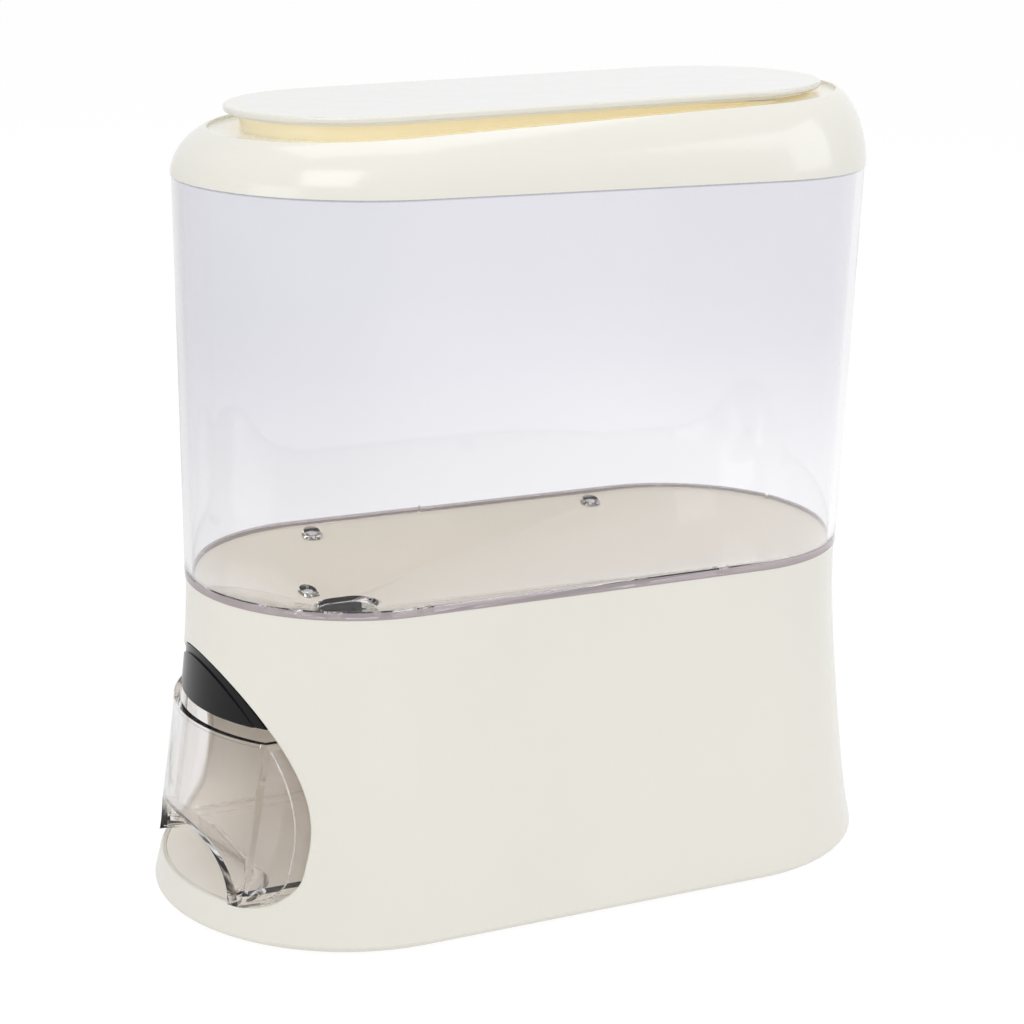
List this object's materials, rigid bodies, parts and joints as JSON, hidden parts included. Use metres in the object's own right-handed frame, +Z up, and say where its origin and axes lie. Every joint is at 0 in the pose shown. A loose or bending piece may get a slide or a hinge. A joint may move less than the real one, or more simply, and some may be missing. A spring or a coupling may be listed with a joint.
{
  "type": "rice dispenser",
  "caption": "Countertop rice dispenser: clear oblong tank with a domed lid on a flared cream base, black push key that opens a gate, and a clear pull-out drawer cup.",
  "frame": {"origin": "on the table under the middle of the object", "axes": "+Z up; the long side along X, with the push key and the drawer at the -X end; the plane y = 0 is the plane of symmetry"},
  "size_m": [0.366, 0.186, 0.3793],
  "materials": {
    "cream_shell": "glossy warm white moulded plastic",
    "lid_white": "glossy warm white moulded plastic",
    "plate_white": "glossy white moulded plastic",
    "clear_tank": "clear glossy plastic",
    "clear_cup": "clear glossy plastic",
    "black_gloss": "polished black plastic",
    "dark_inner": "dark grey moulded plastic",
    "bay_cream": "satin warm white moulded plastic",
    "seal_rubber": "soft translucent white seal",
    "foot_rubber": "grey rubber",
    "screw_steel": "zinc plated steel",
    "spring_steel": "spring steel wire"
  },
  "bodies": {
    "casing": {"base_shell": "cream_shell", "base_plate": "cream_shell", "foot_front_left": "foot_rubber", "foot_front_right": "foot_rubber", "foot_back_left": "foot_rubber", "foot_back_right": "foot_rubber", "drawer_bay": "bay_cream", "hopper_tank": "clear_tank", "gate_housing": "dark_inner", "outlet_chute": "dark_inner", "return_spring_left": "spring_steel", "return_spring_right": "spring_steel", "tank_screws": "screw_steel", "gate_screws": "screw_steel", "bay_screws": "screw_steel", "base_plate_screws": "screw_steel"},
    "lid": {"lid_shell": "lid_white", "lid_top_plate": "plate_white", "lid_seal": "seal_rubber"},
    "key": {"push_key": "black_gloss", "gate_slide": "dark_inner", "key_screws": "screw_steel"},
    "drawer": {"drawer_cup": "clear_cup"}
  },
  "joints": [
    {"name": "lid_lift", "type": "slide", "parent": "casing", "child": "lid", "axis": [0, 0, 1], "range_m": [0, 0.06]},
    {"name": "key_push", "type": "slide", "parent": "casing", "child": "key", "axis": [1, 0, 0], "range_m": [0, 0.02], "stiffness_N_per_m": 250, "springref_m": -0.008, "deforming": ["return_spring_left", "return_spring_right"]},
    {"name": "drawer_slide", "type": "slide", "parent": "casing", "child": "drawer", "axis": [-1, 0, 0], "range_m": [0, 0.09]}
  ]
}
